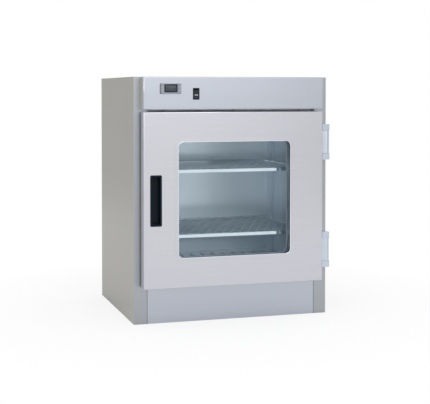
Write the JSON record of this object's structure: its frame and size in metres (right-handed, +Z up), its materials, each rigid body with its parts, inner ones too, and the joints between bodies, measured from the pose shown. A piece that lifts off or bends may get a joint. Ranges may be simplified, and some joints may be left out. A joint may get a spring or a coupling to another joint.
{
  "type": "blanket warming cabinet",
  "caption": "Upright stainless warming cabinet with a glazed hinged door, mesh shelves, digital controller and rocker switch.",
  "frame": {"origin": "centre of the base's underside, between the side, front and back faces of the casing", "axes": "+Z up; +Y to the back, so the door faces -Y; +X to the right of someone who faces the door"},
  "size_m": [0.762, 0.6827, 0.9144],
  "materials": {
    "casing_steel": "fine horizontal brushed stainless sheet",
    "door_steel": "fine brushed stainless sheet",
    "chamber_steel": "half-bright stainless sheet",
    "shelf_steel": "bright stainless sheet and expanded mesh",
    "zinc_sheet": "zinc-coated sheet",
    "hinge_metal": "satin chrome-plated casting",
    "fastener_steel": "plated steel",
    "spring_steel": "ground steel shaft",
    "bush_bronze": "sintered bronze",
    "bezel_silver": "silver-painted moulded plastic",
    "display_dark": "dark tinted lens",
    "key_grey": "moulded grey keys",
    "black_plastic": "moulded black plastic",
    "gasket_rubber": "black glazing rubber",
    "door_seal": "grey magnetic door seal",
    "pane_glass": "clear float glass",
    "mineral_wool": "mineral-wool batt",
    "motor_shell": "die-cast motor shell",
    "element_sheath": "heat-darkened steel sheath"
  },
  "bodies": {
    "cabinet": {"left_side_panel": "casing_steel", "right_side_panel": "casing_steel", "top_panel": "casing_steel", "base_pan": "zinc_sheet", "back_panel": "zinc_sheet", "kick_panel": "casing_steel", "control_panel": "casing_steel", "control_panel_screws": "fastener_steel", "controller_bezel": "bezel_silver", "controller_display": "display_dark", "controller_body": "black_plastic", "switch_housing": "black_plastic", "throat_frame": "chamber_steel", "chamber_wrapper": "chamber_steel", "chamber_side_walls": "chamber_steel", "chamber_insulation": "mineral_wool", "floor_insulation": "mineral_wool", "rear_insulation": "mineral_wool", "shelf_pilasters": "chamber_steel", "shelf_clips": "fastener_steel", "air_grille": "chamber_steel", "heater_element": "element_sheath", "heater_posts": "fastener_steel", "fan_motor": "motor_shell", "motor_bushes": "bush_bronze", "motor_bracket": "zinc_sheet", "electrical_tray": "zinc_sheet", "heater_relay": "black_plastic", "limit_thermostat": "black_plastic", "cord_gland": "black_plastic", "temperature_probe": "spring_steel", "catch_magnet": "black_plastic", "upper_hinge_frame_leaf": "hinge_metal", "lower_hinge_frame_leaf": "hinge_metal", "hinge_pins": "spring_steel", "hinge_frame_screws": "fastener_steel"},
    "door": {"door_outer_skin": "door_steel", "door_inner_skin": "chamber_steel", "door_insulation": "mineral_wool", "outer_glass": "pane_glass", "inner_glass": "pane_glass", "glass_spacer": "motor_shell", "window_gasket": "gasket_rubber", "window_trim": "door_steel", "door_gasket": "door_seal", "handle_cup": "black_plastic", "strike_plate": "fastener_steel", "upper_hinge_door_leaf": "hinge_metal", "lower_hinge_door_leaf": "hinge_metal", "hinge_bushes": "bush_bronze", "hinge_door_screws": "fastener_steel"},
    "power_rocker": {"power_rocker": "black_plastic"},
    "upper_shelf": {"upper_shelf": "shelf_steel"},
    "lower_shelf": {"lower_shelf": "shelf_steel"},
    "fan": {"fan_shaft": "spring_steel", "fan_wheel": "motor_shell"},
    "controller_key_1": {"controller_key_1": "key_grey"},
    "controller_key_2": {"controller_key_2": "key_grey"},
    "controller_key_3": {"controller_key_3": "key_grey"},
    "controller_key_4": {"controller_key_4": "key_grey"}
  },
  "joints": [
    {"name": "door_hinge", "type": "hinge", "parent": "cabinet", "child": "door", "pos_m": [0.364, -0.3488, 0.4611], "axis": [0, 0, 1], "range_deg": [0, 180]},
    {"name": "fan_spin", "type": "hinge", "parent": "cabinet", "child": "fan", "pos_m": [0, 0.0152, 0.16], "axis": [0, 0, 1], "continuous": true},
    {"name": "upper_shelf_lift", "type": "slide", "parent": "cabinet", "child": "upper_shelf", "axis": [0, 0, 1], "range_m": [0, 0.04]},
    {"name": "lower_shelf_lift", "type": "slide", "parent": "cabinet", "child": "lower_shelf", "axis": [0, 0, 1], "range_m": [0, 0.04]},
    {"name": "power_switch", "type": "hinge", "parent": "cabinet", "child": "power_rocker", "pos_m": [-0.1578, -0.3578, 0.8517], "axis": [-1, 0, 0], "range_deg": [0, 20]},
    {"name": "key_1_press", "type": "slide", "parent": "cabinet", "child": "controller_key_1", "axis": [0, 1, 0], "range_m": [0, 0.001], "stiffness_N_per_m": 400, "springref_m": -0.0005},
    {"name": "key_2_press", "type": "slide", "parent": "cabinet", "child": "controller_key_2", "axis": [0, 1, 0], "range_m": [0, 0.001], "stiffness_N_per_m": 400, "springref_m": -0.0005},
    {"name": "key_3_press", "type": "slide", "parent": "cabinet", "child": "controller_key_3", "axis": [0, 1, 0], "range_m": [0, 0.001], "stiffness_N_per_m": 400, "springref_m": -0.0005},
    {"name": "key_4_press", "type": "slide", "parent": "cabinet", "child": "controller_key_4", "axis": [0, 1, 0], "range_m": [0, 0.001], "stiffness_N_per_m": 400, "springref_m": -0.0005}
  ]
}
